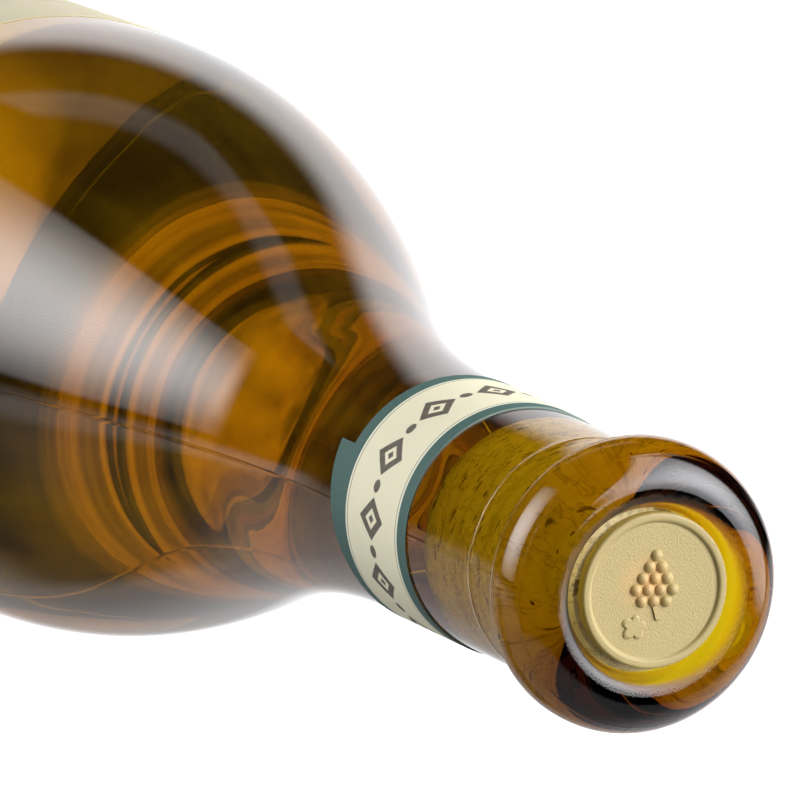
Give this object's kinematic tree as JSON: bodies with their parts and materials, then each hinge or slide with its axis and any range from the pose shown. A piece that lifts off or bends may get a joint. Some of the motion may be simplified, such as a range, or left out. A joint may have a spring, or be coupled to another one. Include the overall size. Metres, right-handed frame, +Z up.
{
  "type": "wine bottle",
  "caption": "Corked glass wine bottle with sloping shoulders, a rounded flanged lip, a round seal in the mouth, a paper neck band and a bare body label.",
  "frame": {"origin": "centre of the base ring, on the surface that the bottle stands on", "axes": "+Z up along the bottle's axis, front label facing -Y, mould seams on +X and -X"},
  "size_m": [0.082, 0.0825, 0.304],
  "materials": {
    "olive_glass": "glossy, olive brown, clear",
    "white_wine": "clear liquid",
    "cork": "matt, fine pores",
    "pale_gold_lacquer": "satin, fine grain",
    "band_paper": "matt paper with muted green edges",
    "label_paper": "matt paper"
  },
  "bodies": {
    "root": {"glass_bottle": "olive_glass", "wine": "white_wine", "cork": "cork", "seal_disc": "pale_gold_lacquer", "neck_band": "band_paper", "body_label": "label_paper"}
  },
  "joints": []
}
